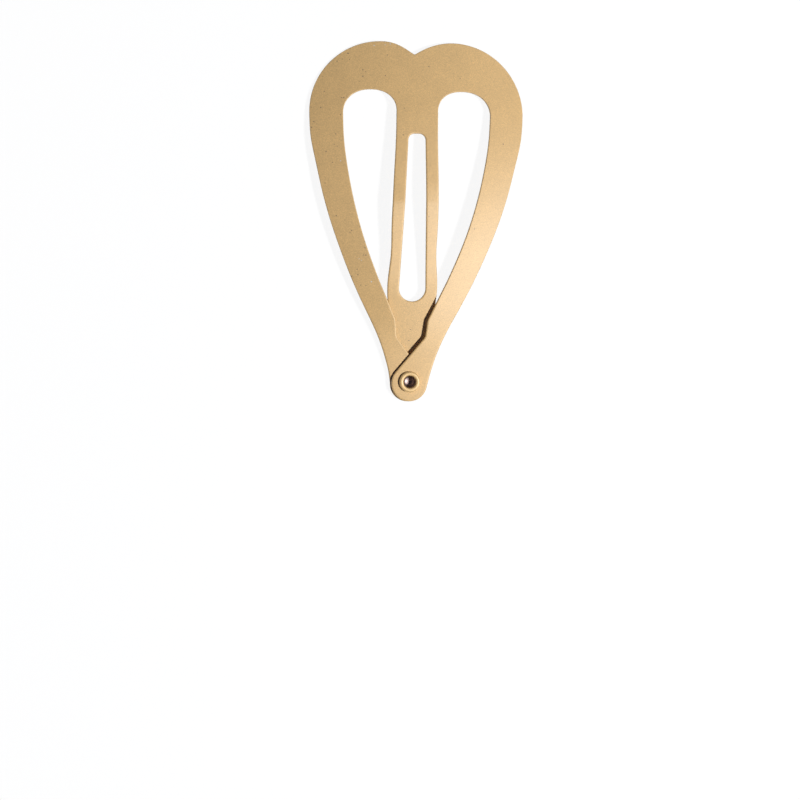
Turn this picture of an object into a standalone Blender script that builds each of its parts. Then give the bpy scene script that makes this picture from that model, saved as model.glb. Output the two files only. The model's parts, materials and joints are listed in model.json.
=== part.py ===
"""A heart-shaped snap hair clip: one pressed sheet of spring steel, closed at its tip by a hollow rivet.

Each region of the sheet is drawn flat, pressed to the arched form and then given its thickness.
In the drawing Y runs from the riveted tip, at zero, to the crown, X is zero on the middle line, and
Z is zero at the crest of the arch. The finished clip stands on Z zero, centred under its outline.
"""

import math

import bmesh
import bpy
import numpy as np
from mathutils import Matrix, Vector

# Heart outline
LENGTH = 0.060
WIDTH = 0.0359
LOBE_RADIUS = 0.012
NOTCH_DEPTH = 0.0022
NOTCH_ROUND = 0.0003
NOTCH_HANDLE_SHARES = ((0.56, 1.00), (0.26, 0.45))
LUG_RADIUS = 0.0030
LUG_STAGGER = 0.0002
LUG_JOIN_ANGLE = -14

# Windows between the legs and the tongue
LEG_TOP_WIDTH = 0.0057
WINDOW_TOP_RISE = 0.00385
WINDOW_LEAN = 0.00025
WINDOW_ROUNDNESS = 2.2

# Leg edges: share of the half width at the hinge line, share of the height of the hinge line
LEG_OUTER_SHARES = (
    (1.0, 1.0),
    (0.985, 0.915),
    (0.939, 0.833),
    (0.872, 0.729),
    (0.788, 0.625),
    (0.684, 0.521),
    (0.563, 0.417),
    (0.453, 0.333),
    (0.345, 0.250),
    (0.268, 0.185),
    (0.218, 0.135),
    (0.188, 0.101),
)
LEG_INNER_SHARES = (
    (1.0, 1.0),
    (0.985, 0.915),
    (0.944, 0.833),
    (0.865, 0.729),
    (0.759, 0.625),
    (0.622, 0.521),
    (0.457, 0.417),
)

# The inner edge of a leg steps in at a shoulder, runs down a neck and crosses to the lug
SHOULDER_X = 0.00268
SHOULDER_Y = 0.0136
NECK_X = 0.00238
NECK_Y = 0.0108
STEP_ROUND = 0.0012

# Tongue
TONGUE_ROOT_WIDTH = 0.0070
TONGUE_END = 0.0070
SPADE_WIDTH = 0.0084
SPADE_Y = 0.0196
TONGUE_SHARES = (
    (0.84, 0.86),
    (0.87, 0.72),
    (0.93, 0.50),
    (0.94, 0.32),
    (0.93, 0.18),
    (1.00, 0.00),
)
NOSE_SHARES = ((0.91, 0.80), (0.77, 0.52), (0.60, 0.25), (0.40, 0.08), (0.0, 0.0))
SLOT_HEADROOM = 0.0034
SLOT_BOTTOM = 0.0167
SLOT_TOP_WIDTH = 0.0029
SLOT_BOTTOM_WIDTH = 0.0042
SLOT_TOP_ROUND = 0.0011

# Sheet and fits
SHEET = 0.0005
EDGE_ROUND = 0.00006
FLEXURE_GAP = 0.0003
LAP_GAP = 0.00008
TONGUE_GAP = 0.00012

# Pressed form
ARCH_RADIUS = 0.130
ARCH_CREST = 0.0330
ARCH_TIP_RUN = 0.011
ARCH_CROWN_RUN = 0.017
BOW_RADIUS = 0.115
LEG_TWIST = math.radians(8.3)
TWIST_DELAY = 0.002
TWIST_FULL = 0.026
UNTWIST_START = 0.015
UNTWIST_END = 0.006
LEG_LEAN_SHARE = 0.65
LAP_END = 0.009
LAP_START = 0.019
CREASE_Y = 0.0337
CREASE_HEIGHT = 0.00035

# Rivet
RIVET_Y = 0.0033
BORE_RADIUS = 0.00103
RIVET_WALL = 0.00022
RIVET_FIT = 0.00005
RIM_RADIUS = 0.00172
RIM_HEIGHT = 0.00034
RIM_FULLNESS = 0.8
HEAD_RADIUS = 0.0019
HEAD_HEIGHT = 0.00035
HEAD_ROUND = 0.00022
FLOOR_RISE = 0.0004

# Facets
OUTLINE_STEP = 0.0007
ARC_STEP = 9
ROW_PITCH = 0.0030
COLUMN_PITCH = 0.0040
TURNS = 48
CUT_OVERRUN = 0.001
SNAP = 0.0001
MERGE = 0.000001

# Finishes: colour, roughness
GOLD_PAINT = ((0.68, 0.47, 0.23, 1.0), 0.35)
RIVET_GOLD = ((0.72, 0.50, 0.26, 1.0), 0.30)
METALLIC = 0.6

# The legs and the tongue leave the crown at the hinge line, below a narrow gap
HINGE_Y = LENGTH - LOBE_RADIUS
REGION_TOP = HINGE_Y - FLEXURE_GAP
HALF_WIDTH = WIDTH / 2
HALF_WINDOW = HALF_WIDTH - LEG_TOP_WIDTH
LOBE_X = HALF_WIDTH - LOBE_RADIUS


# Curves of the outlines


def arc(centre, radius, start, end):
    """Points along an arc, from one angle in degrees to another."""
    by_length = abs(math.radians(end - start)) * radius / OUTLINE_STEP
    count = math.ceil(max(by_length, abs(end - start) / ARC_STEP))
    angles = np.radians(np.linspace(start, end, count + 1))
    return np.column_stack((centre[0] + radius * np.cos(angles), centre[1] + radius * np.sin(angles)))


def smooth(points):
    """A smooth curve through the points, with a point about every outline step."""
    points = np.asarray(points, float)
    padded = np.vstack((2 * points[0] - points[1], points, 2 * points[-1] - points[-2]))
    curve = [points[:1]]
    for before, start, end, after in zip(padded, padded[1:], padded[2:], padded[3:]):
        count = max(2, round(np.linalg.norm(end - start) / OUTLINE_STEP))
        t = np.linspace(0, 1, count + 1)[1:, None]
        leave = (end - before) / 2
        arrive = (after - start) / 2
        bend = 3 * (end - start) - 2 * leave - arrive
        close = 2 * (start - end) + leave + arrive
        curve.append(start + leave * t + bend * t**2 + close * t**3)
    return np.vstack(curve)


def bezier(start, start_handle, end_handle, end):
    count = max(3, round(np.linalg.norm(np.subtract(end, start)) / OUTLINE_STEP))
    t = np.linspace(0, 1, count + 1)[:, None]
    ends = (1 - t) ** 3 * np.array(start) + t**3 * np.array(end)
    return ends + 3 * t * (1 - t) * ((1 - t) * np.array(start_handle) + t * np.array(end_handle))


def rounded_corner(before, corner, after, radius):
    """The arc that rounds a corner between two straight edges."""
    before, corner, after = (Vector(point) for point in (before, corner, after))
    back = (before - corner).normalized()
    ahead = (after - corner).normalized()
    half = back.angle(ahead) / 2
    reach = radius / math.tan(half)
    centre = corner + (back + ahead).normalized() * radius / math.sin(half)
    start = corner + back * reach - centre
    swept = math.pi - 2 * half
    turn = math.copysign(swept, start.cross(corner + ahead * reach - centre))
    count = max(2, round(swept * radius / OUTLINE_STEP))
    return np.array([centre + Matrix.Rotation(turn * i / count, 2) @ start for i in range(count + 1)])


def joined(*runs):
    """One loop of points, without the points that two runs share."""
    points = np.vstack(runs)
    far = np.linalg.norm(points - np.roll(points, 1, axis=0), axis=1) > MERGE
    return points[far]


def mirrored(points):
    return points[::-1] * (-1, 1)


# Flat outlines of the four regions of the sheet


def window_top():
    """Right window's upper edge at the hinge line, from the leg over the top to the tongue."""
    half = (HALF_WINDOW - TONGUE_ROOT_WIDTH / 2) / 2
    count = round(math.pi * half / OUTLINE_STEP)
    angles = np.linspace(0, math.pi, count + 1)
    across = np.sign(np.cos(angles)) * np.abs(np.cos(angles)) ** (2 / WINDOW_ROUNDNESS)
    up = np.abs(np.sin(angles)) ** (2 / WINDOW_ROUNDNESS)
    middle = TONGUE_ROOT_WIDTH / 2 + half
    return np.column_stack((middle + half * across - WINDOW_LEAN * up, HINGE_Y + WINDOW_TOP_RISE * up))


def crown_outline():
    notch = (0, LENGTH - NOTCH_DEPTH)
    lobe_top = (LOBE_X, LENGTH)
    flank_end = (NOTCH_ROUND, notch[1] + NOTCH_ROUND / 2)
    handles = [(x * LOBE_X, notch[1] + y * NOTCH_DEPTH) for x, y in NOTCH_HANDLE_SHARES]
    flank = bezier(lobe_top, *handles, flank_end)
    right = np.vstack((arc((LOBE_X, HINGE_Y), LOBE_RADIUS, 0, 90), flank, [notch]))
    windows = window_top()
    return [joined(right, mirrored(right), windows * (-1, 1), windows[::-1])]


def leg_outline(stagger):
    """The right leg. A left leg is drawn the same way and then mirrored."""
    lug = (stagger, LUG_RADIUS)
    join = on_lug(lug, LUG_JOIN_ANGLE)
    outer = smooth([(x * HALF_WIDTH, y * REGION_TOP) for x, y in LEG_OUTER_SHARES] + [join])
    inner = smooth([(x * HALF_WINDOW, y * REGION_TOP) for x, y in LEG_INNER_SHARES])
    shoulder, neck = (SHOULDER_X, SHOULDER_Y), (NECK_X, NECK_Y)
    reach = math.dist(neck, lug)
    toward = math.degrees(math.atan2(neck[1] - lug[1], neck[0] - lug[0]))
    meet = toward + math.degrees(math.acos(LUG_RADIUS / reach))
    lug_edge = arc(lug, LUG_RADIUS, LUG_JOIN_ANGLE, meet - 360)
    shoulder_arc = rounded_corner(neck, shoulder, inner[-1], STEP_ROUND)
    neck_arc = rounded_corner(on_lug(lug, meet), neck, shoulder, STEP_ROUND)
    return [joined(outer, lug_edge, neck_arc, shoulder_arc, inner[::-1])]


def on_lug(lug, angle):
    turn = math.radians(angle)
    return (lug[0] + LUG_RADIUS * math.cos(turn), lug[1] + LUG_RADIUS * math.sin(turn))


def tongue_outline():
    half = SPADE_WIDTH / 2
    side = [(x * half, SPADE_Y + y * (REGION_TOP - SPADE_Y)) for x, y in TONGUE_SHARES]
    nose = [(x * half, TONGUE_END + y * (SPADE_Y - TONGUE_END)) for x, y in NOSE_SHARES]
    right = [(TONGUE_ROOT_WIDTH / 2, REGION_TOP)] + side + nose[:-1]
    left = [(-x, y) for x, y in right[::-1]]
    return [joined(smooth(right + nose[-1:] + left)), slot_outline()]


def slot_outline():
    end = SLOT_BOTTOM_WIDTH / 2
    bottom = arc((0, SLOT_BOTTOM + end), end, -90, 0)
    corner_middle = (SLOT_TOP_WIDTH / 2 - SLOT_TOP_ROUND, HINGE_Y - SLOT_HEADROOM - SLOT_TOP_ROUND)
    corner = arc(corner_middle, SLOT_TOP_ROUND, 0, 90)
    right = np.vstack((bottom, smooth([bottom[-1], corner[0]]), corner))
    return joined(right, mirrored(right))


# Heights of the pressed form


def ease(value, start, end):
    """Rises smoothly from 0 at start to 1 at end."""
    t = min(max((value - start) / (end - start), 0), 1)
    return t * t * (3 - 2 * t)


def arch(y):
    """The lengthwise arch: an arc about the crest that runs on straight at both ends."""
    run = ARCH_CROWN_RUN if y > ARCH_CREST else ARCH_TIP_RUN
    away = abs(y - ARCH_CREST)
    bent = min(away, run)
    return -(bent**2 / 2 + run * (away - bent)) / ARCH_RADIUS


def bow(x):
    return -(x**2) / (2 * BOW_RADIUS)


def crown_height(x, y):
    return arch(y) + bow(x)


def lap(y):
    """How far each lug lies from the middle of the lap: one sheet on the other."""
    return (SHEET + LAP_GAP) / 2 * ease(y, LAP_START, LAP_END)


def leg_height(side, level, x, y):
    """A leg banks about the line up its middle, and flattens again where it laps the other leg."""
    middle = LEG_LEAN_SHARE * WIDTH / LENGTH * y
    twist = ease(y, HINGE_Y - TWIST_DELAY, TWIST_FULL) * ease(y, UNTWIST_END, UNTWIST_START)
    bank = math.tan(LEG_TWIST) * twist * (side * x - middle)
    return arch(y) + bow(x) - bank + level * lap(y)


def tongue_height(x, y):
    """The tongue leaves the crown along its slope, bends at the crease and dives under the legs."""
    root = arch(HINGE_Y)
    slope = min(HINGE_Y - ARCH_CREST, ARCH_CROWN_RUN) / ARCH_RADIUS
    run = HINGE_Y - CREASE_Y
    sag = (root + slope * run - CREASE_HEIGHT) / run**2
    if y > CREASE_Y:
        ahead = HINGE_Y - y
        return root + slope * ahead - sag * ahead**2 + bow(x)
    end = arch(TONGUE_END) - lap(TONGUE_END) - SHEET - TONGUE_GAP
    share = (CREASE_Y - y) / (CREASE_Y - TONGUE_END)
    return CREASE_HEIGHT + share * (end - CREASE_HEIGHT) + bow(x)


# The clip rests on the head of its rivet and on the rim of its crown
LUG_TILT = math.atan2(ARCH_TIP_RUN, ARCH_RADIUS)
STACK_HALF = SHEET + LAP_GAP / 2
HEAD_BOTTOM = STACK_HALF + RIVET_FIT + HEAD_HEIGHT
HEAD_REACH = HEAD_BOTTOM * math.cos(LUG_TILT) + (HEAD_RADIUS - HEAD_ROUND) * math.sin(LUG_TILT)
CROWN_RIM = min(crown_height(x, y) for x, y in crown_outline()[0])
LIFT = max(HEAD_REACH - arch(RIVET_Y), SHEET / 2 - CROWN_RIM)


def placed(x, y, z):
    """A point of the drawing, in the finished clip's own place."""
    return Vector((x, y - LENGTH / 2, z + LIFT))


# Solids


def stations(low, high, pitch, offset):
    first = math.floor((low - offset) / pitch) + 1
    last = math.ceil((high - offset) / pitch)
    return offset + pitch * np.arange(first, last)


ROWS = stations(0, LENGTH, ROW_PITCH, CREASE_Y)
COLUMNS = stations(-HALF_WIDTH, HALF_WIDTH, COLUMN_PITCH, COLUMN_PITCH / 2)


def snapped(loop):
    """The loop with each point that nearly meets a row or a column moved onto it."""
    for axis, lines in enumerate((COLUMNS, ROWS)):
        nearest = lines[np.abs(loop[:, axis, None] - lines).argmin(axis=1)]
        close = np.abs(loop[:, axis] - nearest) < SNAP
        loop[close, axis] = nearest[close]
    return loop


def blank(name, loops):
    """The flat blank inside the loops."""
    curve = bpy.data.curves.new(name, "CURVE")
    curve.dimensions = "2D"
    curve.fill_mode = "BOTH"
    for loop in map(snapped, loops):
        spline = curve.splines.new("POLY")
        spline.points.add(len(loop) - 1)
        spline.use_cyclic_u = True
        for point, (x, y) in zip(spline.points, loop):
            point.co = (x, y, 0, 1)
    drawn = bpy.data.objects.new(name, curve)
    mesh = bpy.data.meshes.new_from_object(drawn)
    bpy.data.objects.remove(drawn)
    bpy.data.curves.remove(curve)
    return mesh


def divide(sheet):
    """Cuts the blank into rows and columns, so that it can bend, and clears the fill's own diagonals."""
    cuts = [(Vector((0, y, 0)), Vector((0, 1, 0))) for y in ROWS]
    cuts += [(Vector((x, 0, 0)), Vector((1, 0, 0))) for x in COLUMNS]
    on_cut = set()
    for point, normal in cuts:
        geometry = sheet.verts[:] + sheet.edges[:] + sheet.faces[:]
        bmesh.ops.bisect_plane(sheet, geom=geometry, dist=MERGE, plane_co=point, plane_no=normal)
    for edge in sheet.edges:
        ends = [vert.co for vert in edge.verts]
        for point, normal in cuts:
            if all(abs((end - point).dot(normal)) < MERGE for end in ends):
                on_cut.add(edge)
    loose = [edge for edge in sheet.edges if not edge.is_boundary and edge not in on_cut]
    bmesh.ops.dissolve_edges(sheet, edges=loose, use_verts=False)
    straight = [vert for vert in sheet.verts if not vert.is_boundary and len(vert.link_edges) == 2]
    bmesh.ops.dissolve_verts(sheet, verts=straight)
    bmesh.ops.triangulate(sheet, faces=sheet.faces)


def pressed(name, loops, height, material, origin):
    """One region of the sheet, cut, pressed to its height and given its thickness."""
    mesh = blank(name, loops)
    sheet = bmesh.new()
    sheet.from_mesh(mesh)
    bmesh.ops.remove_doubles(sheet, verts=sheet.verts, dist=MERGE)
    divide(sheet)
    for vert in sheet.verts:
        x, y, _ = vert.co
        vert.co = placed(x, y, height(x, y)) - origin
    bmesh.ops.recalc_face_normals(sheet, faces=sheet.faces)
    if sum(face.normal.z * face.calc_area() for face in sheet.faces) < 0:
        bmesh.ops.reverse_faces(sheet, faces=sheet.faces)
    sheet.to_mesh(mesh)
    sheet.free()
    solid = add_object(name, mesh, material, origin)
    thickness = solid.modifiers.new("thickness", "SOLIDIFY")
    thickness.thickness = SHEET
    thickness.offset = 0
    thickness.use_even_offset = True
    return solid


def round_edges(solid):
    """Takes the sharpness off the sheared edges."""
    edges = solid.modifiers.new("sheared_edges", "BEVEL")
    edges.width = EDGE_ROUND
    edges.segments = 1
    edges.limit_method = "ANGLE"
    edges.angle_limit = math.radians(60)


def turned(name, profile, material, collection, turns):
    """A profile of radius and height pairs, turned about its own Z."""
    mesh = bpy.data.meshes.new(name)
    edges = [(i, i + 1) for i in range(len(profile) - 1)]
    mesh.from_pydata([(radius, 0, height) for radius, height in profile], edges, [])
    solid = bpy.data.objects.new(name, mesh)
    if material:
        mesh.materials.append(material)
    collection.objects.link(solid)
    screw = solid.modifiers.new("turn", "SCREW")
    screw.steps = turns
    screw.render_steps = turns
    screw.use_merge_vertices = True
    screw.merge_threshold = MERGE
    solid.location = placed(0, RIVET_Y, arch(RIVET_Y))
    solid.rotation_euler = (LUG_TILT, 0, 0)
    return solid


def add_object(name, mesh, material, origin):
    solid = bpy.data.objects.new(name, mesh)
    solid.location = origin
    mesh.materials.append(material)
    clip.objects.link(solid)
    return solid


def painted(name, finish):
    colour, roughness = finish
    material = bpy.data.materials.new(name)
    material.use_nodes = True
    shader = material.node_tree.nodes["Principled BSDF"]
    shader.inputs["Base Color"].default_value = colour
    shader.inputs["Roughness"].default_value = roughness
    shader.inputs["Metallic"].default_value = METALLIC
    return material


def rivet_profile():
    """From the floor of the recess up the bore, over the rolled rim, down the shank and round the head."""
    rim_bottom = STACK_HALF + RIVET_FIT
    shank = BORE_RADIUS + RIVET_WALL
    roll = (RIM_RADIUS - BORE_RADIUS) / 2
    bend = np.radians(np.linspace(180, 0, 9))
    rim = [
        (BORE_RADIUS + roll + roll * math.cos(a), rim_bottom + RIM_HEIGHT * math.sin(a) ** RIM_FULLNESS)
        for a in bend[:-1]
    ]
    corner = np.radians(np.linspace(0, -90, 5))
    head = [
        (
            HEAD_RADIUS - HEAD_ROUND + HEAD_ROUND * math.cos(a),
            -HEAD_BOTTOM + HEAD_ROUND + HEAD_ROUND * math.sin(a),
        )
        for a in corner
    ]
    floor = FLOOR_RISE - HEAD_BOTTOM
    return [
        (0, floor),
        (BORE_RADIUS, floor),
        *rim,
        (RIM_RADIUS, rim_bottom),
        (shank, rim_bottom),
        (shank, -STACK_HALF - RIVET_FIT),
        (HEAD_RADIUS, -STACK_HALF - RIVET_FIT),
        *head,
        (0, -HEAD_BOTTOM),
    ]


def cut_rivet_hole(leg):
    """The hole through a lug, square to it."""
    radius = BORE_RADIUS + RIVET_WALL + RIVET_FIT
    reach = STACK_HALF + CUT_OVERRUN
    profile = [(0, reach), (radius, reach), (radius, -reach), (0, -reach)]
    cutter = turned(leg.name + "_hole", profile, None, cutters, TURNS)
    cutter.hide_render = True
    cutter.display_type = "WIRE"
    hole = leg.modifiers.new("rivet_hole", "BOOLEAN")
    hole.object = cutter
    hole.operation = "DIFFERENCE"


def hinge_empty(name, height):
    """Marks a flexure line, which a moving region of the sheet turns about."""
    empty = bpy.data.objects.new(name, None)
    empty.location = placed(0, HINGE_Y - FLEXURE_GAP / 2, height)
    empty.empty_display_size = LUG_RADIUS
    clip.objects.link(empty)
    return empty


def carry(parent, *children):
    for child in children:
        child.parent = parent
        child.matrix_parent_inverse = Matrix.Translation(parent.location).inverted()


for leftover in list(bpy.data.objects):
    bpy.data.objects.remove(leftover)

clip = bpy.data.collections.new("hair_clip")
cutters = bpy.data.collections.new("cutters")
bpy.context.scene.collection.children.link(clip)
bpy.context.scene.collection.children.link(cutters)

gold = painted("gold_paint", GOLD_PAINT)
rivet_gold = painted("rivet_gold", RIVET_GOLD)

leg_middle = (HALF_WIDTH + HALF_WINDOW) / 2
legs_hinge = hinge_empty("legs_hinge", crown_height(leg_middle, HINGE_Y))
tongue_hinge = hinge_empty("tongue_hinge", crown_height(0, HINGE_Y))

crown_origin = placed(0, HINGE_Y, crown_height(0, HINGE_Y))
crown = pressed("heart_crown", crown_outline(), crown_height, gold, crown_origin)

right_leg = pressed(
    "right_leg",
    leg_outline(0),
    lambda x, y: leg_height(1, 1, x, y),
    gold,
    legs_hinge.location,
)
left_leg = pressed(
    "left_leg",
    [mirrored(loop) for loop in leg_outline(LUG_STAGGER)],
    lambda x, y: leg_height(-1, -1, x, y),
    gold,
    legs_hinge.location,
)
for leg in (left_leg, right_leg):
    cut_rivet_hole(leg)

tongue = pressed("tongue", tongue_outline(), tongue_height, gold, tongue_hinge.location)
for region in (crown, left_leg, right_leg, tongue):
    round_edges(region)

rivet = turned("tip_rivet", rivet_profile(), rivet_gold, clip, TURNS)
rivet.data.shade_smooth()
rivet.data.set_sharp_from_angle(angle=math.radians(40))
carry(legs_hinge, left_leg, right_leg, rivet)
carry(tongue_hinge, tongue)
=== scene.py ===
import json
import math

import bmesh
import bpy
import numpy as np
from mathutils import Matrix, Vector


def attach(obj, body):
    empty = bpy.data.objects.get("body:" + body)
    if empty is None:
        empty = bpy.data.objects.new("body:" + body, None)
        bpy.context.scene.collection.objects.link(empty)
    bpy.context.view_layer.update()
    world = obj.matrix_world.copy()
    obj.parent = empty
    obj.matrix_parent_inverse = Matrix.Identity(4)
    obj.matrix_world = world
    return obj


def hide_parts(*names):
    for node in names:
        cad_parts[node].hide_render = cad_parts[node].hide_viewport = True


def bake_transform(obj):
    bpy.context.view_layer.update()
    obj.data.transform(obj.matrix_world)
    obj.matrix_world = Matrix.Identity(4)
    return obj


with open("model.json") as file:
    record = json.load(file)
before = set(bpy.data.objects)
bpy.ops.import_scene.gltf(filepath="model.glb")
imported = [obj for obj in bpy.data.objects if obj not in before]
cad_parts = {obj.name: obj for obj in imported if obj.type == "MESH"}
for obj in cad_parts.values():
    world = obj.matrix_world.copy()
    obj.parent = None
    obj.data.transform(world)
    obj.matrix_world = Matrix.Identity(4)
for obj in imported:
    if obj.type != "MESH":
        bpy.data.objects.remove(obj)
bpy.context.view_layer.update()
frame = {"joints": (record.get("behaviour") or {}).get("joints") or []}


# The heart: crown and two legs, sheared from half-millimetre spring steel, pressed to a shallow
# arch, crossed and riveted at the tip. It is one closed ribbon of sheet.
# Drawing: Y runs from the riveted tip to the crown, and Z is zero at the crest of the arch.

LENGTH = 0.060
WIDTH = 0.0360
LOBE_RADIUS = 0.012
NOTCH_DEPTH = 0.0021
NOTCH_OFFSET = -0.0005
NOTCH_ROUND = 0.0003
NOTCH_HANDLE_SHARES = ((0.56, 1.00), (0.26, 0.45))
CROWN_RISE = 0.0001
CROWN_SKEW = 0.0083
SKEW_START = 0.030
LEG_TOP_WIDTH = 0.0056
WINDOW_TOP_RISE = 0.00385
WINDOW_LEAN = 0.00025
WINDOW_ROUNDNESS = 2.2
TONGUE_ROOT_WIDTH = 0.0070
LEG_OUTER_SHARES = (
    (1.0, 1.0), (0.985, 0.915), (0.939, 0.833), (0.872, 0.729), (0.788, 0.625), (0.684, 0.521),
    (0.565, 0.417), (0.455, 0.333), (0.340, 0.250), (0.264, 0.185), (0.219, 0.135), (0.194, 0.101),
)
LEG_INNER_SHARES = (
    (1.0, 1.0), (0.985, 0.915), (0.944, 0.833), (0.865, 0.729), (0.759, 0.625), (0.622, 0.521),
    (0.457, 0.417),
)
SHOULDER = (0.00268, 0.0136)
NECK = (0.00238, 0.0108)
STEP_ROUND = 0.0012
LUG_RADIUS = 0.0030
LUG_STAGGER = 0.0002
LUG_JOIN_ANGLE = -14

SHEET = 0.0005
ROLL_ACROSS = 0.00025
ROLL_DEEP = 0.00013
FAINT_ROLL = 0.45
FULL_ROLL_BELOW = 0.015
FAINT_ROLL_ABOVE = 0.019
LAP_GAP = 0.00008
ARCH_RADIUS = 0.130
ARCH_CREST = 0.0330
ARCH_TIP_RUN = 0.011
ARCH_CROWN_RUN = 0.017
BOW_RADIUS = 0.115
LEG_TWIST = math.radians(4.6)
TWIST_FULL = 0.018
UNTWIST_START = 0.017
UNTWIST_END = 0.006
LEG_LEAN_SHARE = 0.65
LAP_END = 0.009
LAP_START = 0.019

DRAWN_STEP = 0.00002
LEG_COLUMNS = 230
WINDOW_COLUMNS = 80
SEAM_COLUMNS = 20
SEAM_RISE = 0.002
SEAM_INSET = 1.5 * ROLL_ACROSS
WINDOW_RIM_SHARE = 0.90
FACE_ROWS = 18
ROUND_ROWS = 6
MERGE = 0.0000005
SHARP_ANGLE = math.radians(40)
SLOPE_STEP = 0.00001
FEWEST_STEPS = 4

HINGE_Y = LENGTH - LOBE_RADIUS
HALF_WIDTH = WIDTH / 2
HALF_WINDOW = HALF_WIDTH - LEG_TOP_WIDTH
LOBE_X = HALF_WIDTH - LOBE_RADIUS


def arc(centre, radius, start, end):
    """Points at centre plus radius times the cosine and sine of an angle, between two angles in
    degrees."""
    count = max(FEWEST_STEPS, math.ceil(abs(math.radians(end - start)) * radius / DRAWN_STEP))
    turn = np.radians(np.linspace(start, end, count + 1))
    return np.column_stack((centre[0] + radius * np.cos(turn), centre[1] + radius * np.sin(turn)))


def spline(points):
    """Cubic pieces through the points, whose second derivatives solve the three-term rows of a
    free spline."""
    points = np.asarray(points, float)
    chord = np.linalg.norm(np.diff(points, axis=0), axis=1)
    knots = np.concatenate(([0], np.cumsum(chord)))
    inner = np.arange(1, len(points) - 1)
    rows = np.eye(len(points))
    rows[inner, inner - 1] = chord[:-1]
    rows[inner, inner] = 2 * (chord[:-1] + chord[1:])
    rows[inner, inner + 1] = chord[1:]
    steepening = np.zeros_like(points)
    steepening[1:-1] = 6 * np.diff(np.diff(points, axis=0) / chord[:, None], axis=0)
    bend = np.linalg.solve(rows, steepening)
    at = np.linspace(0, knots[-1], math.ceil(knots[-1] / DRAWN_STEP) + 1)
    piece = np.clip(np.searchsorted(knots, at, side="right") - 1, 0, len(points) - 2)
    ahead = ((at - knots[piece]) / chord[piece])[:, None]
    back = 1 - ahead
    straight = back * points[piece] + ahead * points[piece + 1]
    curl = (back**3 - back) * bend[piece] + (ahead**3 - ahead) * bend[piece + 1]
    return straight + curl * chord[piece, None] ** 2 / 6


def bezier(start, start_handle, end_handle, end):
    """The cubic that leaves start for its handle and arrives at end from the other."""
    t = np.linspace(0, 1, math.ceil(math.dist(start, end) / DRAWN_STEP) + 1)[:, None]
    ends = (1 - t) ** 3 * np.array(start) + t**3 * np.array(end)
    return ends + 3 * t * (1 - t) * ((1 - t) * np.array(start_handle) + t * np.array(end_handle))


def rounded_corner(before, corner, after, radius):
    """The arc of that radius that touches both straight edges of a corner."""
    before, corner, after = (np.array(point, float) for point in (before, corner, after))
    back = (before - corner) / np.linalg.norm(before - corner)
    ahead = (after - corner) / np.linalg.norm(after - corner)
    half = math.acos(back @ ahead) / 2
    middle = (back + ahead) / np.linalg.norm(back + ahead)
    centre = corner + middle * radius / math.sin(half)
    start = corner + back * radius / math.tan(half) - centre
    end = corner + ahead * radius / math.tan(half) - centre
    first = math.degrees(math.atan2(start[1], start[0]))
    swept = math.degrees(math.atan2(start[0] * end[1] - start[1] * end[0], start @ end))
    return arc(centre, radius, first, first + swept)


def spaced(points, count):
    """The drawn line again, as count equal steps along its length."""
    run = np.concatenate(([0], np.cumsum(np.linalg.norm(np.diff(points, axis=0), axis=1))))
    at = np.linspace(0, run[-1], count + 1)
    return np.column_stack([np.interp(at, run, points[:, axis]) for axis in (0, 1)])


def leg_edges(stagger):
    """Outer and inner edge of the right leg, from the hinge line down to the end of its lug. Both
    are splines through their shares of the half width; below, the inner one is straight between
    two rounded corners, and both end in the circle of the lug."""
    lug = np.array((stagger, LUG_RADIUS))
    join = math.radians(LUG_JOIN_ANGLE)
    outer_points = [(x * HALF_WIDTH, y * HINGE_Y) for x, y in LEG_OUTER_SHARES]
    outer_points.append(lug + LUG_RADIUS * np.array((math.cos(join), math.sin(join))))
    outer = np.vstack((spline(outer_points), arc(lug, LUG_RADIUS, LUG_JOIN_ANGLE, -90)[1:]))
    inner = spline([(x * HALF_WINDOW, y * HINGE_Y) for x, y in LEG_INNER_SHARES])
    reach = math.dist(NECK, lug)
    toward = math.degrees(math.atan2(NECK[1] - lug[1], NECK[0] - lug[0]))
    meet = toward + math.degrees(math.acos(LUG_RADIUS / reach))
    meet_turn = math.radians(meet)
    touch = lug + LUG_RADIUS * np.array((math.cos(meet_turn), math.sin(meet_turn)))
    shoulder_arc = rounded_corner(inner[-1], SHOULDER, NECK, STEP_ROUND)
    neck_arc = rounded_corner(SHOULDER, NECK, touch, STEP_ROUND)
    inner = np.vstack((inner, shoulder_arc, neck_arc, arc(lug, LUG_RADIUS, meet, 270)))
    return outer, inner


def crown_edges():
    """Right half of the crown: its rim from the hinge line to the notch, a quarter circle and a
    cubic, and its window's top to the tongue, a half turn whose cosine and sine are each raised to
    two over the roundness."""
    notch = (0, LENGTH - NOTCH_DEPTH)
    handles = [(x * LOBE_X, notch[1] + y * NOTCH_DEPTH) for x, y in NOTCH_HANDLE_SHARES]
    flank_end = (NOTCH_ROUND, notch[1] + NOTCH_ROUND / 2)
    flank = bezier((LOBE_X, LENGTH), *handles, flank_end)
    rim = np.vstack((arc((LOBE_X, HINGE_Y), LOBE_RADIUS, 0, 90), flank[1:], [notch]))
    half = (HALF_WINDOW - TONGUE_ROOT_WIDTH / 2) / 2
    turn = np.linspace(0, math.pi, math.ceil(math.pi * half / DRAWN_STEP) + 1)
    across = np.sign(np.cos(turn)) * np.abs(np.cos(turn)) ** (2 / WINDOW_ROUNDNESS)
    up = np.abs(np.sin(turn)) ** (2 / WINDOW_ROUNDNESS)
    middle = TONGUE_ROOT_WIDTH / 2 + half
    window_x = middle + half * across - WINDOW_LEAN * up
    window = np.column_stack((window_x, HINGE_Y + WINDOW_TOP_RISE * up))
    return rim, window


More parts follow.
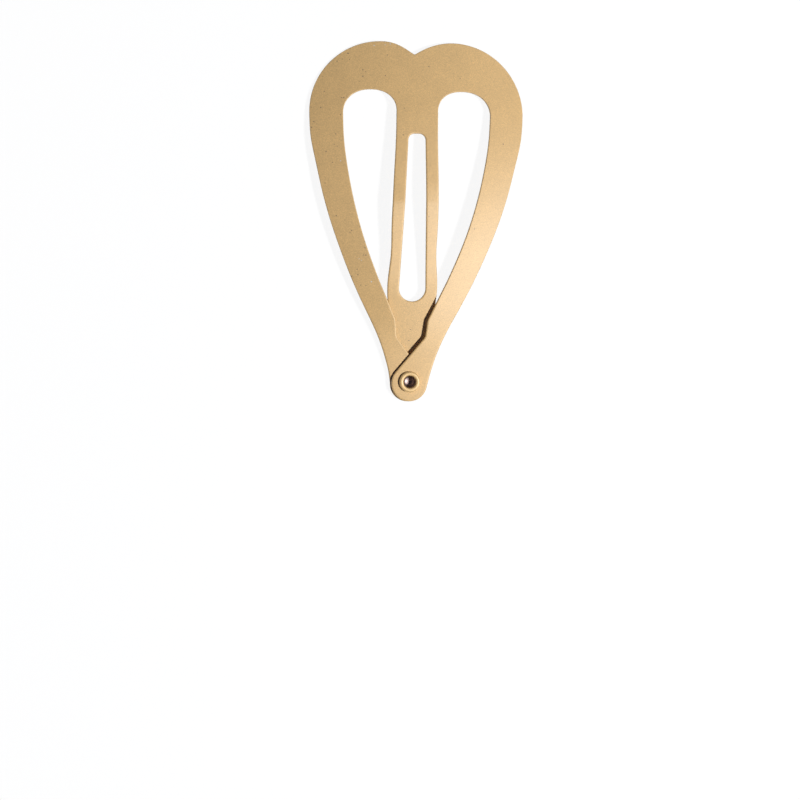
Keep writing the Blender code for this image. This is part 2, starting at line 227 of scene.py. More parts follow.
def ease(value, start, end):
    """0 at start and 1 at end, and between them three times the square less twice the cube."""
    t = np.clip((value - start) / (end - start), 0, 1)
    return t * t * (3 - 2 * t)


def arch(y):
    """Lengthwise arch: falls with the square of the way from the crest, and then straight on."""
    run = np.where(y > ARCH_CREST, ARCH_CROWN_RUN, ARCH_TIP_RUN)
    away = np.abs(y - ARCH_CREST)
    bent = np.minimum(away, run)
    return -(bent**2 / 2 + run * (away - bent)) / ARCH_RADIUS


def bow(x):
    """Crosswise bow: falls with the square of the way from the middle line."""
    return -(x**2) / (2 * BOW_RADIUS)


def lap(y):
    """How far each lug lies above or below the middle of the lap."""
    return (SHEET + LAP_GAP) / 2 * ease(y, LAP_START, LAP_END)


def askew(plan):
    """The plan with its crown pressed a little askew: up by its rise, and turned by the skew about
    the middle of the hinge line, where x falls by the skew times y and y grows by the skew times
    x. The growth fades out down the legs and the tongue."""
    x, y = plan.T
    up = (CROWN_RISE + CROWN_SKEW * x) * ease(y, SKEW_START, HINGE_Y)
    return np.column_stack((x - CROWN_SKEW * np.maximum(y - HINGE_Y, 0), y + up))


def heart_height(x, y, side):
    """Arch and bow, less the bank of a leg about the line up its middle, and half a lap up or
    down."""
    middle = LEG_LEAN_SHARE * WIDTH / LENGTH * y
    twist = ease(y, HINGE_Y, TWIST_FULL) * ease(y, UNTWIST_END, UNTWIST_START)
    bank = math.tan(LEG_TWIST) * twist * (side * x - middle)
    return arch(y) + bow(x) - bank + side * lap(y)


TONGUE_LINE = next(joint for joint in frame["joints"] if joint["name"] == "tongue_flexure")["pos_m"]
LIFT = TONGUE_LINE[2] - float(arch(HINGE_Y))


def pressed(plan, level, height):
    """A point of the sheet in the object's own place: its plan pressed to the height, and then
    level metres along the normal. Its slopes are the height's differences over a small step to
    each side, divided by both steps."""
    x, y = plan[..., 0], plan[..., 1]
    step = SLOPE_STEP
    slope_x = (height(x + step, y) - height(x - step, y)) / (2 * step)
    slope_y = (height(x, y + step) - height(x, y - step)) / (2 * step)
    normal = np.stack((-slope_x, -slope_y, np.ones_like(x)), axis=-1)
    normal /= np.linalg.norm(normal, axis=-1, keepdims=True)
    middle = np.stack((x, y - LENGTH / 2, height(x, y) + LIFT), axis=-1)
    return middle + normal * np.asarray(level)[..., None]


def inward(edge, other):
    """Unit normals of an edge in plan, all on the side of it where most of the other edge lies."""
    along = np.gradient(edge, axis=0)
    across = np.column_stack((-along[:, 1], along[:, 0]))
    across /= np.linalg.norm(across, axis=1, keepdims=True)
    return across * np.sign(np.einsum("ij,ij->", across, other - edge))


def closed_up(name, mesh):
    """The piece of that mesh, with its seams and poles merged, its faces turned outwards and
    shaded smooth."""
    shell = bmesh.new()
    shell.from_mesh(mesh)
    bmesh.ops.remove_doubles(shell, verts=shell.verts, dist=MERGE)
    bmesh.ops.dissolve_degenerate(shell, edges=shell.edges, dist=MERGE)
    bmesh.ops.recalc_face_normals(shell, faces=shell.faces)
    shell.to_mesh(mesh)
    shell.free()
    mesh.shade_smooth()
    mesh.set_sharp_from_angle(angle=SHARP_ANGLE)
    piece = bpy.data.objects.new(name, mesh)
    bpy.context.scene.collection.objects.link(piece)
    return piece


def sheet_mesh(name, outer, inner, outer_in, inner_in, outer_round, inner_round, height, closed):
    """A ribbon of sheet between two edges. Each column runs over the upper face, round the inner
    sheared edge, back under the lower face and up round the outer edge. A round is a quarter
    ellipse, wider than it is deep, and its share is 0 where the edge is a plain butt. The paint is
    thin on the torn face between two rounds, where the mark is 1."""
    turn = np.linspace(0, math.pi / 2, ROUND_ROWS + 1)
    inset = ROLL_ACROSS * (1 - np.sin(turn))
    depth = SHEET / 2 - ROLL_DEEP * (1 - np.cos(turn))
    inset = np.concatenate((inset, inset[::-1]))
    depth = np.concatenate((depth, -depth[::-1]))
    v = (1 - np.cos(np.linspace(0, math.pi, FACE_ROWS + 1))) / 2
    outer_rim = outer + outer_in * (ROLL_ACROSS * outer_round)[:, None]
    inner_rim = inner + inner_in * (ROLL_ACROSS * inner_round)[:, None]
    face = outer_rim[:, None] * (1 - v)[:, None] + inner_rim[:, None] * v[:, None]
    inner_edge = inner[:, None] + inner_in[:, None] * (inset * inner_round[:, None])[..., None]
    outer_edge = outer[:, None] + outer_in[:, None] * (inset * outer_round[:, None])[..., None]
    sides = (face, inner_edge[:, 1:-1], face[:, ::-1], outer_edge[:, -2:0:-1])
    plan = np.concatenate(sides, axis=1)
    top = np.full(FACE_ROWS + 1, SHEET / 2)
    level = np.concatenate((top, depth[1:-1], -top, depth[-2:0:-1]))
    points = pressed(plan, np.broadcast_to(level, plan.shape[:2]), height)
    torn = (turn == turn[-1]).astype(float)
    torn = np.concatenate((torn, torn[::-1]))[1:-1]
    bare = np.concatenate((0 * top, torn, 0 * top, torn))
    columns, rows = plan.shape[:2]
    last = columns if closed else columns - 1
    i, j = np.meshgrid(np.arange(last), np.arange(rows), indexing="ij")
    ahead, beside = (i + 1) % columns, (j + 1) % rows
    corners = [i * rows + j, ahead * rows + j, ahead * rows + beside, i * rows + beside]
    faces = np.stack(corners, axis=-1).reshape(-1, 4)
    mesh = bpy.data.meshes.new(name)
    mesh.from_pydata(points.reshape(-1, 3).tolist(), [], faces.tolist())
    thin = mesh.attributes.new("thin_paint", "FLOAT", "POINT")
    thin.data.foreach_set("value", np.tile(bare, columns).astype(np.float32))
    return closed_up(name, mesh)


def window_and_seam():
    """The window's top cut where the tongue's piece begins, the part of it left to that piece, and
    the right half of the seam between the two, which runs straight across to the middle."""
    window = crown_edges()[1]
    past_top = np.argmax(window[:, 1])
    corner = past_top + np.searchsorted(-window[past_top:, 1], -(HINGE_Y + SEAM_RISE))
    beside_round = np.linspace(window[corner, 0] - SEAM_INSET, 0, SEAM_COLUMNS)
    across = np.concatenate(([window[corner, 0]], beside_round))
    seam = np.column_stack((across, np.full_like(across, window[corner, 1])))
    return window[:corner + 1], window[corner:], seam


def heart_columns():
    """Both edges of the whole heart, column by column, from the left lug round to the right one.
    The notch isn't quite in the middle: the rim slides aside there by its offset, and less and
    less towards the lobes."""
    rim = crown_edges()[0]
    window, _, seam = window_and_seam()
    over_window = round(WINDOW_RIM_SHARE * len(rim))
    over_seam = spaced(rim[over_window:], SEAM_COLUMNS)
    rim = np.vstack((spaced(rim[:over_window + 1], WINDOW_COLUMNS), over_seam[1:]))
    top = np.vstack((spaced(window, WINDOW_COLUMNS), seam[1:]))
    flip = (-1, 1)
    right_outer, right_inner = (spaced(edge, LEG_COLUMNS) for edge in leg_edges(0))
    left_outer, left_inner = (spaced(edge, LEG_COLUMNS) * flip for edge in leg_edges(LUG_STAGGER))
    outer = np.vstack((left_outer[:0:-1], rim * flip, rim[-2::-1], right_outer[1:]))
    beside_notch = ease(np.abs(outer[:, 0]), LOBE_X, 0) * (outer[:, 1] > HINGE_Y)
    outer[:, 0] += NOTCH_OFFSET * beside_notch
    inner = np.vstack((left_inner[:0:-1], top * flip, top[-2::-1], right_inner[1:]))
    return askew(outer), askew(inner)


outer, inner = heart_columns()
outer_in, inner_in = inward(outer, inner), inward(inner, outer)
for ends in (outer_in, inner_in):
    ends[[0, -1]] = (0, 1)
middle = len(inner) // 2
outer_round, inner_round = (
    1 - (1 - FAINT_ROLL) * ease(edge[:, 1], FULL_ROLL_BELOW, FAINT_ROLL_ABOVE)
    for edge in (outer, inner)
)
inner_round[middle - SEAM_COLUMNS + 1:middle + SEAM_COLUMNS] = 0
inner_in[middle - SEAM_COLUMNS] = (1, 0)
inner_in[middle + SEAM_COLUMNS] = (-1, 0)
side = np.where(np.arange(len(outer)) < middle, -1.0, 1.0)[:, None]
heart = sheet_mesh(
    "heart_sheet", outer, inner, outer_in, inner_in, outer_round, inner_round,
    lambda x, y: heart_height(x, y, side), closed=False,
)

RIVET_Y = 0.0033
BORE_RADIUS = 0.00103
RIVET_WALL = 0.00022
RIVET_FIT = 0.00005
HOLE_REACH = 0.0015
TURNS = 96
LUG_TILT = math.atan2(ARCH_TIP_RUN, ARCH_RADIUS)


def turned(name, profile, thin_and_shaded_rows=0):
    """Pairs of radius and height carried round the rivet's line: radius times the cosine and the
    sine of the turn, and the height, all leaning by the tilt of the lugs. On the first rows the
    paint is thin, and their second colour is painted shade as well; it eases to full paint over the
    second half of them."""
    radius, height = np.asarray(profile, float).T[:, :, None]
    turn = np.arange(TURNS) * 2 * math.pi / TURNS
    x, y, z = radius * np.cos(turn), radius * np.sin(turn), height + 0 * turn
    leaning_y = RIVET_Y - LENGTH / 2 + y * math.cos(LUG_TILT) - z * math.sin(LUG_TILT)
    leaning_z = float(arch(RIVET_Y)) + LIFT + y * math.sin(LUG_TILT) + z * math.cos(LUG_TILT)
    points = np.stack((x, leaning_y, leaning_z), axis=-1).reshape(-1, 3)
    i, j = np.meshgrid(np.arange(len(profile) - 1) * TURNS, np.arange(TURNS), indexing="ij")
    beside = (j + 1) % TURNS
    faces = np.stack((i + j, i + beside, i + TURNS + beside, i + TURNS + j), axis=-1).reshape(-1, 4)
    mesh = bpy.data.meshes.new(name)
    mesh.from_pydata(points.tolist(), [], faces.tolist())
    thin = mesh.attributes.new("thin_paint", "FLOAT", "POINT")
    fade = 1 - ease(np.arange(len(profile)), thin_and_shaded_rows / 2, thin_and_shaded_rows + 0.5)
    thin.data.foreach_set("value", np.repeat(fade, TURNS).astype(np.float32))
    return closed_up(name, mesh)


hole_radius = BORE_RADIUS + RIVET_WALL + RIVET_FIT
drill = turned("drill", [
    (0, HOLE_REACH), (hole_radius, HOLE_REACH), (hole_radius, -HOLE_REACH), (0, -HOLE_REACH),
])
hole = heart.modifiers.new("rivet_hole", "BOOLEAN")
hole.object = drill
hole.operation = "DIFFERENCE"
hole.solver = "EXACT"
worked_out = bpy.context.evaluated_depsgraph_get()
drilled = bpy.data.meshes.new_from_object(heart.evaluated_get(worked_out))
heart.modifiers.clear()
heart.data = drilled
bpy.data.objects.remove(drill)
drilled.shade_smooth()
drilled.set_sharp_from_angle(angle=SHARP_ANGLE)

PAINT = (0.650, 0.450, 0.196, 1.0)
THIN_PAINT = (0.46, 0.33, 0.19, 1.0)
SOOT = (0.26, 0.18, 0.10, 1.0)
LINT = (0.62, 0.62, 0.60, 1.0)
PAINT_METALLIC = 0.7
PAINT_ROUGHNESS = 0.80
THIN_GLOSS = 0.65
LACQUER = 1.0
LACQUER_ROUGHNESS = 0.483
GRAIN = 0.00015
FLAKE = 0.00009
CLOUD = 0.0035
DUST_PITCH = 0.0009
DUST_RADIUS = 0.0001
DUSTY_SIDE = -0.008
DUSTY_RARITY = 0.35
CLEAN_RARITY = 0.95
LINT_ABOVE = 0.85
NOISE_DETAIL = 2.0
GRAIN_SPREAD = 0.6
CLOUD_SPREAD = 0.12
FLAKE_SPREAD = 0.2
GLOSS_SPREAD = 0.08
GRAIN_BUMP = 0.3
GRAIN_DEPTH = 0.00001


def node(tree, kind, links=(), **settings):
    """A node of the material with its settings, and each link made into the socket it is named
    for."""
    made = tree.nodes.new("ShaderNode" + kind)
    for key, value in settings.items():
        if key.startswith("in_"):
            made.inputs[int(key[3:])].default_value = value
        else:
            setattr(made, key, value)
    for socket, source in links:
        tree.links.new(source, made.inputs[socket])
    return made


def maths(tree, operation, *values):
    """The outcome of a Math node on these values, each of them a socket or a number."""
    made = node(tree, "Math", operation=operation)
    for socket, value in zip(made.inputs, values):
        if isinstance(value, bpy.types.NodeSocket):
            tree.links.new(value, socket)
        else:
            socket.default_value = value
    return made.outputs[0]


def metallic_paint(name, colour, thin, roughness, lacquer_roughness):
    """Satin paint with fine metal flake under a satin lacquer. Flakes, cells of a tenth of a
    millimetre, a soft grain a little wider and clouds of a few millimetres each make the colour
    lighter and darker, and the grain varies gloss and level too. Specks of soot and lint lie in the
    lacquer, most of them on the left lobe. Where the mark is 1, the second colour shows: thin paint
    on a torn edge, and in the rivet's recess bare steel that is also painted shade."""
    material = bpy.data.materials.new(name)
    material.use_nodes = True
    tree = material.node_tree
    shader = tree.nodes["Principled BSDF"]
    place = node(tree, "TexCoord").outputs["Object"]
    grain, cloud = (
        node(tree, "TexNoise", [("Vector", place)], in_2=1 / width, in_3=NOISE_DETAIL).outputs[0]
        for width in (GRAIN, CLOUD)
    )
    flakes = node(tree, "TexVoronoi", [("Vector", place)], in_2=1 / FLAKE)
    flake = node(tree, "SeparateColor", [(0, flakes.outputs["Color"])]).outputs["Red"]
    # The mark: thin paint on torn edges, and bare steel with painted shade in the rivet's recess.
    mark = node(tree, "Attribute", attribute_name="thin_paint").outputs["Fac"]
    base = node(tree, "Mix", [(0, mark)], data_type="RGBA", in_6=colour, in_7=thin).outputs[2]
    for value, spread in ((grain, GRAIN_SPREAD), (cloud, CLOUD_SPREAD), (flake, FLAKE_SPREAD)):
        tone = node(tree, "MapRange", [("Value", value)], in_3=1 - spread / 2, in_4=1 + spread / 2)
        toned = node(tree, "VectorMath", [(0, base), ("Scale", tone.outputs[0])], operation="SCALE")
        base = toned.outputs[0]
    specks = node(tree, "TexVoronoi", [("Vector", place)], in_2=1 / DUST_PITCH)
    near = maths(tree, "LESS_THAN", specks.outputs["Distance"], DUST_RADIUS / DUST_PITCH)
    chance = node(tree, "SeparateColor", [(0, specks.outputs["Color"])]).outputs
    across = node(tree, "SeparateXYZ", [(0, place)]).outputs["X"]
    rarity = node(
        tree, "MapRange", [("Value", across)],
        in_1=DUSTY_SIDE, in_2=DUSTY_SIDE / 2, in_3=DUSTY_RARITY, in_4=CLEAN_RARITY,
    ).outputs[0]
    speck = maths(tree, "MULTIPLY", near, maths(tree, "GREATER_THAN", chance["Green"], rarity))
    pale = maths(tree, "GREATER_THAN", chance["Blue"], LINT_ABOVE)
    dust = node(tree, "Mix", [(0, pale)], data_type="RGBA", in_6=SOOT, in_7=LINT).outputs[2]
    base = node(tree, "Mix", [(0, speck), (6, base), (7, dust)], data_type="RGBA").outputs[2]
    tree.links.new(base, shader.inputs["Base Color"])
    satin = node(
        tree, "MapRange", [("Value", grain)],
        in_3=roughness - GLOSS_SPREAD, in_4=roughness + GLOSS_SPREAD,
    ).outputs[0]
    drawn = maths(tree, "MULTIPLY_ADD", mark, THIN_GLOSS - 1, 1.0)
    tree.links.new(maths(tree, "MULTIPLY", satin, drawn), shader.inputs["Roughness"])
    skin = node(tree, "Bump", [("Height", grain)], in_0=GRAIN_BUMP, in_1=GRAIN_DEPTH)
    tree.links.new(skin.outputs[0], shader.inputs["Normal"])
    shader.inputs["Metallic"].default_value = PAINT_METALLIC
    shader.inputs["Coat Weight"].default_value = LACQUER
    shader.inputs["Coat Roughness"].default_value = lacquer_roughness
    return material


gold_paint = metallic_paint("gold_paint", PAINT, THIN_PAINT, PAINT_ROUGHNESS, LACQUER_ROUGHNESS)
heart.data.materials.clear()
heart.data.materials.append(gold_paint)

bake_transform(heart)
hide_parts("heart_crown", "left_leg", "right_leg")


# The tongue: the middle of the same blank, left joined to the crown by its root. It has one long
# slot, a crease pressed across its two rails, and a wide spade that dives under the crossing legs.
# It leaves the crown along the crown's slope, so its root meets the crown edge to edge.

TONGUE_END = 0.0070
SPADE_WIDTH = 0.0084
SPADE_Y = 0.0196
TONGUE_SHARES = ((0.84, 0.86), (0.87, 0.72), (0.92, 0.50), (0.93, 0.32), (0.92, 0.16), (1.00, 0.00))
NOSE_SHARES = ((0.98, 0.82), (0.84, 0.52), (0.62, 0.25), (0.40, 0.08), (0.0, 0.0))
SLOT_HEADROOM = 0.0034
SLOT_BOTTOM = 0.0167
SLOT_TOP_WIDTH = 0.0029
SLOT_BOTTOM_WIDTH = 0.0045
SLOT_TOP_ROUND = 0.0011
TONGUE_GAP = 0.00012
CREASE_Y = 0.0332
CREASE_HEIGHT = 0.0002
CREASE_ROUND = 0.00035
TONGUE_TWIST = math.radians(4.0)
TONGUE_TWIST_START = 0.0370
TONGUE_TWIST_FULL = 0.0315
TONGUE_UNTWIST_START = 0.0225
TONGUE_UNTWIST_END = 0.0155
ROOT_END = 0.0420
ROOT_COLUMNS = 34
CREASE_COLUMNS = 24
RAIL_COLUMNS = 30
NOSE_COLUMNS = 60


def tongue_height(x, y):
    """Follows the crown's arch down to the hinge line, leaves it along its slope and sags with the
    square of the way to the crease; past the crease it runs straight to its end, under the lower
    leg. The crease is rounded by a parabola over its width. From a little above it down to the
    spade the rails bank to the right, about their middle."""
    root = float(arch(HINGE_Y))
    slope = min(HINGE_Y - ARCH_CREST, ARCH_CROWN_RUN) / ARCH_RADIUS
    run = HINGE_Y - CREASE_Y
    sag = (root + slope * run - CREASE_HEIGHT) / run**2
    end = float(arch(TONGUE_END) - lap(TONGUE_END)) - SHEET - TONGUE_GAP
    fall = (CREASE_HEIGHT - end) / (CREASE_Y - TONGUE_END)
    ahead = HINGE_Y - y
    above = np.where(ahead < 0, arch(y), root + slope * ahead - sag * ahead**2)
    below = CREASE_HEIGHT - fall * (CREASE_Y - y)
    turn = 2 * sag * run - slope - fall
    near = np.maximum(CREASE_ROUND - np.abs(y - CREASE_Y), 0)
    banking = ease(y, TONGUE_TWIST_START, TONGUE_TWIST_FULL)
    twist = banking * ease(y, TONGUE_UNTWIST_END, TONGUE_UNTWIST_START)
    crosswise = bow(x) - math.tan(TONGUE_TWIST) * twist * x
    return np.where(y > CREASE_Y, above, below) + turn * near**2 / (4 * CREASE_ROUND) + crosswise


def at_heights(edge, heights):
    """The points of a falling edge that lie at these heights of the drawing."""
    return np.column_stack((np.interp(heights, edge[::-1, 1], edge[::-1, 0]), heights))


def cut(edge, start, end):
    """The part of a falling edge between two heights of the drawing, both ends made exact."""
    between = edge[(edge[:, 1] < start - DRAWN_STEP / 4) & (edge[:, 1] > end + DRAWN_STEP / 4)]
    first, last = (at_heights(edge, np.array([height])) for height in (start, end))
    return np.vstack((first, between, last))


def tongue_columns():
    """Outer edge and slot edge of the tongue, column by column, all the way round from its root:
    a spline through shares of the spade's half width, and two rounded ends with straight sides.
    Where the crease crosses the rails the columns run straight across, close together."""
    half = SPADE_WIDTH / 2
    side = [(x * half, SPADE_Y + y * (HINGE_Y - SPADE_Y)) for x, y in TONGUE_SHARES]
    nose = [(x * half, TONGUE_END + y * (SPADE_Y - TONGUE_END)) for x, y in NOSE_SHARES]
    right = [(TONGUE_ROOT_WIDTH / 2, HINGE_Y)] + side + nose[:-1]
    whole = spline(right + nose[-1:] + [(-x, y) for x, y in right[::-1]])
    _, above_hinge, seam = window_and_seam()
    edge = np.vstack((above_hinge[:-1], whole[:len(whole) // 2 + 1]))
    bend = SLOT_BOTTOM_WIDTH / 2
    bend_y = SLOT_BOTTOM + bend
    corner = (SLOT_TOP_WIDTH / 2 - SLOT_TOP_ROUND, HINGE_Y - SLOT_HEADROOM - SLOT_TOP_ROUND)
    slot_top = np.vstack(([(0, corner[1] + SLOT_TOP_ROUND)], arc(corner, SLOT_TOP_ROUND, 90, 0)))
    slot = np.vstack((slot_top, arc((0, bend_y), bend, 0, -90)))
    rail_y = np.concatenate((
        np.linspace(ROOT_END, CREASE_Y + 2 * CREASE_ROUND, RAIL_COLUMNS)[:-1],
        np.linspace(CREASE_Y + 2 * CREASE_ROUND, CREASE_Y - 2 * CREASE_ROUND, CREASE_COLUMNS)[:-1],
        np.linspace(CREASE_Y - 2 * CREASE_ROUND, bend_y, 2 * RAIL_COLUMNS)[:-1],
    ))
    outer = np.vstack((
        seam[::-1], spaced(cut(edge, seam[0, 1], ROOT_END), ROOT_COLUMNS)[1:-1],
        at_heights(edge, rail_y), spaced(cut(edge, bend_y, TONGUE_END), NOSE_COLUMNS),
    ))
    inner = np.vstack((
        spaced(cut(slot, slot[0, 1], ROOT_END), SEAM_COLUMNS + ROOT_COLUMNS)[:-1],
        at_heights(slot, rail_y), spaced(cut(slot, bend_y, SLOT_BOTTOM), NOSE_COLUMNS),
    ))
    outer, inner = (np.vstack((edge, edge[-2:0:-1] * (-1, 1))) for edge in (outer, inner))
    return askew(outer), askew(inner)


outer, inner = tongue_columns()
outer_in, inner_in = inward(outer, inner), inward(inner, outer)
outer_in[SEAM_COLUMNS], outer_in[-SEAM_COLUMNS] = (-1, 0), (1, 0)
inner_in[0] = (0, 1)
outer_round = 1 - (1 - FAINT_ROLL) * ease(outer[:, 1], ROOT_END, HINGE_Y)
outer_round[:SEAM_COLUMNS] = 0
outer_round[1 - SEAM_COLUMNS:] = 0
tongue = sheet_mesh(
    "tongue_sheet", outer, inner, outer_in, inner_in, outer_round, np.ones(len(outer)),
    tongue_height, closed=True,
)
tongue.data.materials.append(gold_paint)
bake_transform(tongue)
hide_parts("tongue")


# The rivet: hollow, drawn from thin steel and finished in the same gold, a little smoother. Its
# plain head lies under the two lugs, and its mouth is rolled over them into a round rim. The paint
# thins out down the recess, which narrows like a funnel to a dished floor; the dull brown there is
# bare steel and also painted shade, which darkens the recess.

RIM_RADIUS = 0.00176
RIM_HEIGHT = 0.00055
RIM_FULLNESS = 0.6
RIM_SQUARENESS = 0.72
RIM_CLEARANCE = 0.00001
MOUTH_RADIUS = 0.00100
HEAD_RADIUS = 0.0019
HEAD_HEIGHT = 0.00035
HEAD_ROUND = 0.00022
HEAD_WALL = 0.00016
RECESS_FLOOR_RADIUS = 0.00062
RECESS_FLOOR_DISH = 0.000082
FUNNEL_FULLNESS = 5
BARE_AND_SHADED_FUNNEL_SHARE = 0.9
RIM_ROWS = 24
FUNNEL_ROWS = 24
CORNER_ROWS = 8
RIVET_GOLD = (0.650, 0.450, 0.196, 1.0)
# Bare steel in the rivet's recess, also a painted shade that darkens it.
BARE_STEEL_AND_SHADE = (0.22, 0.155, 0.14, 1.0)
RIVET_ROUGHNESS = 0.70
RIVET_LACQUER_ROUGHNESS = 0.42


def rivet_profile():
    """From the middle of the floor up the funnel, over the rolled rim, in to the shank and round
    the head. The floor rises with the square of the radius, and the funnel narrows with the depth
    to a power. The rim is a half turn whose height is the sine of the turn, and whose way across
    is its cosine, each to a power below 1, so it is full."""
    stack = SHEET + LAP_GAP / 2
    rim_bottom = stack + RIVET_FIT
    head_bottom = -(rim_bottom + HEAD_HEIGHT)
    shank = BORE_RADIUS + RIVET_WALL
    quarter = np.linspace(0, math.pi / 2, CORNER_ROWS + 1)
    dish = np.linspace(0, 1, CORNER_ROWS + 1)[:-1]
    floor = head_bottom + HEAD_WALL + RECESS_FLOOR_DISH * dish**2
    up = np.linspace(0, 1, FUNNEL_ROWS + 1)[:-1]
    widened = 1 - (1 - up) ** FUNNEL_FULLNESS
    funnel_x = RECESS_FLOOR_RADIUS + (MOUTH_RADIUS - RECESS_FLOOR_RADIUS) * widened
    funnel_rise = rim_bottom - head_bottom - HEAD_WALL - RECESS_FLOOR_DISH
    funnel_z = head_bottom + HEAD_WALL + RECESS_FLOOR_DISH + funnel_rise * up
    roll = (RIM_RADIUS - MOUTH_RADIUS) / 2
    turn = np.linspace(math.pi, 0, RIM_ROWS + 1)
    across = np.sign(np.cos(turn)) * np.abs(np.cos(turn)) ** RIM_SQUARENESS
    rise = RIM_HEIGHT * np.abs(np.sin(turn)) ** RIM_FULLNESS
    rows = (
        np.column_stack((dish * RECESS_FLOOR_RADIUS, floor)),
        np.column_stack((funnel_x, funnel_z)),
        np.column_stack((MOUTH_RADIUS + roll + roll * across, rim_bottom + rise)),
        [(RIM_RADIUS, stack + RIM_CLEARANCE), (shank, stack + RIM_CLEARANCE), (shank, -rim_bottom)],
        [(HEAD_RADIUS, -rim_bottom)],
        np.column_stack((
            HEAD_RADIUS - HEAD_ROUND + HEAD_ROUND * np.cos(quarter),
            head_bottom + HEAD_ROUND - HEAD_ROUND * np.sin(quarter),
        )),
        [(0, head_bottom)],
    )
    return np.vstack(rows)


# Rows of the recess that take the bare steel and its painted shade: the floor and most of the
# funnel.
bare_and_shaded_rows = CORNER_ROWS + FUNNEL_ROWS * BARE_AND_SHADED_FUNNEL_SHARE
rivet = turned("rolled_rivet", rivet_profile(), thin_and_shaded_rows=bare_and_shaded_rows)
rivet_gold = metallic_paint(
    "rivet_gold", RIVET_GOLD, BARE_STEEL_AND_SHADE, RIVET_ROUGHNESS, RIVET_LACQUER_ROUGHNESS,
)
rivet.data.materials.append(rivet_gold)
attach(rivet, "legs")
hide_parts("tip_rivet")


# The studio: a round pale floor on the clip's own level, inside a wide white bowl with an open top.
# To the camera and in reflections the bowl is plain white, and the floor lets it through, less the
# share that keeps the clip's shadow; that share fades out away from the clip, so no edge shows.

STUDIO_FLOOR_RADIUS = 0.6
BOWL_RADIUS = 1.6
BOWL_TOP = math.radians(18)
BOWL_ROWS = 40
STUDIO_TURNS = 96
STUDIO_WHITE = (0.96, 0.96, 0.96, 1.0)
SHADOW_SHARE = 0.08
SHADOW_NEAR = 0.16
SHADOW_FAR = 0.45


def studio_surface(name, profile, shader_for_camera, share_for_camera):
    """Pairs of radius and height carried round the upright middle line. The surface is matt white,
    and for rays from the camera, reflections, clear pieces and shadows it turns into the other
    shader by the share."""
    radius, height = np.asarray(profile, float).T[:, :, None]
    turn = np.arange(STUDIO_TURNS) * 2 * math.pi / STUDIO_TURNS
    points = np.stack((radius * np.cos(turn), radius * np.sin(turn), height + 0 * turn), axis=-1)
    rings = np.arange(len(profile) - 1) * STUDIO_TURNS
    i, j = np.meshgrid(rings, np.arange(STUDIO_TURNS), indexing="ij")
    beside = (j + 1) % STUDIO_TURNS
    faces = np.stack((i + j, i + STUDIO_TURNS + j, i + STUDIO_TURNS + beside, i + beside), axis=-1)
    mesh = bpy.data.meshes.new(name)
    mesh.from_pydata(points.reshape(-1, 3).tolist(), [], faces.reshape(-1, 4).tolist())
    surface = closed_up(name, mesh)
    material = bpy.data.materials.new(name)
    material.use_nodes = True
    tree = material.node_tree
    tree.nodes.remove(tree.nodes["Principled BSDF"])
    matt = node(tree, "BsdfDiffuse", in_0=STUDIO_WHITE)
    path = node(tree, "LightPath").outputs
    seen = path["Is Camera Ray"]
    for other in ("Is Glossy Ray", "Is Transmission Ray", "Is Shadow Ray"):
        seen = maths(tree, "MAXIMUM", seen, path[other])
    share = maths(tree, "MULTIPLY", seen, share_for_camera(tree))
    shown = shader_for_camera(tree)
    mixed = node(tree, "MixShader", [(0, share), (1, matt.outputs[0]), (2, shown)])
    tree.links.new(mixed.outputs[0], tree.nodes["Material Output"].inputs["Surface"])
    mesh.materials.append(material)


def clear(tree):
    """A clear shader, through which the bowl shows."""
    return node(tree, "BsdfTransparent").outputs[0]


def white(tree):
    """A white glow of strength 1."""
    return node(tree, "Emission", in_1=1.0).outputs[0]


def everywhere(tree):
    """A share of 1."""
    return maths(tree, "ADD", 1.0, 0.0)


def away_from_clip(tree):
    """A share that leaves out the shadow's share near the clip and eases to 1 away from it."""
    place = node(tree, "TexCoord").outputs["Object"]
    away = node(tree, "VectorMath", [(0, place)], operation="LENGTH").outputs["Value"]
    fade = node(
        tree, "MapRange", [("Value", away)], interpolation_type="SMOOTHSTEP",
        in_1=SHADOW_NEAR, in_2=SHADOW_FAR, in_3=1 - SHADOW_SHARE, in_4=1.0,
    )
    return fade.outputs[0]


floor_rings = [(0, 0), (STUDIO_FLOOR_RADIUS / 2, 0), (STUDIO_FLOOR_RADIUS, 0)]
studio_surface("floor", floor_rings, clear, away_from_clip)
rising = np.linspace(-math.pi / 2, BOWL_TOP, BOWL_ROWS)
bowl = np.column_stack((BOWL_RADIUS * np.cos(rising), BOWL_RADIUS * np.sin(rising)))
studio_surface("bowl", bowl, white, everywhere)


# The lights: one small soft box up on the right, which draws the banked right leg bright and the
# left one dim, and a plain dim room.

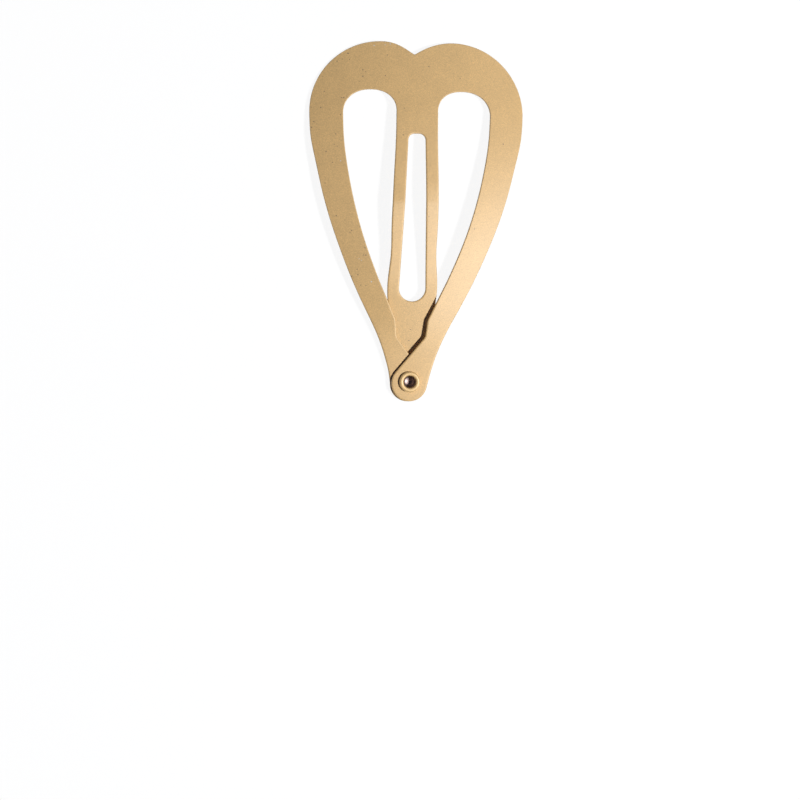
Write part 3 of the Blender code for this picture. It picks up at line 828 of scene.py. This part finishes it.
KEY_FROM = (0.310, -0.107, 0.526)
KEY_SIZE = 0.06
KEY_WATTS = 4.75
ROOM = (0.030, 0.042, 0.092, 1.0)


def soft_box(name, place, size, watts):
    """A square lamp at a place, turned to the clip."""
    lamp = bpy.data.lights.new(name, "AREA")
    lamp.shape = "SQUARE"
    lamp.size = size
    lamp.energy = watts
    holder = bpy.data.objects.new(name, lamp)
    holder.location = place
    holder.rotation_euler = (-Vector(place)).to_track_quat("-Z", "Y").to_euler()
    bpy.context.scene.collection.objects.link(holder)


soft_box("key", KEY_FROM, KEY_SIZE, KEY_WATTS)
room = bpy.data.worlds.new("room")
room.use_nodes = True
tree = room.node_tree
dim = tree.nodes["Background"]
dim.inputs["Color"].default_value = ROOM
backdrop = node(tree, "Background", in_0=STUDIO_WHITE, in_1=1 / STUDIO_WHITE[0])
seen = node(tree, "LightPath").outputs["Is Camera Ray"]
mixed = node(tree, "MixShader", [(0, seen), (1, dim.outputs[0]), (2, backdrop.outputs[0])])
tree.links.new(mixed.outputs[0], tree.nodes["World Output"].inputs["Surface"])
bpy.context.scene.world = room
bpy.context.scene.view_settings.view_transform = "Standard"


# The camera looks down from well above, turned a little and leaning a little from the left, as the
# photograph was taken.

CAMERA_OVER = (-0.00156, -0.02983)
CAMERA_TURN = math.radians(1.585)
CAMERA_LEAN = math.radians(7.5)
FRAME_WIDTH = 0.13358
FOCAL_LENGTH = 180
SENSOR_WIDTH = 36
FOCUS_HEIGHT = 0.002
NEAR_CLIP = 0.01

lens = bpy.data.cameras.new("camera")
lens.lens = FOCAL_LENGTH
lens.sensor_width = SENSOR_WIDTH
lens.clip_start = NEAR_CLIP
camera = bpy.data.objects.new("camera", lens)
camera.rotation_euler = (0, -CAMERA_LEAN, CAMERA_TURN)
distance = FRAME_WIDTH * FOCAL_LENGTH / SENSOR_WIDTH
backwards = camera.rotation_euler.to_matrix() @ Vector((0, 0, distance))
camera.location = Vector((*CAMERA_OVER, FOCUS_HEIGHT)) + backwards
bpy.context.scene.collection.objects.link(camera)
bpy.context.scene.camera = camera
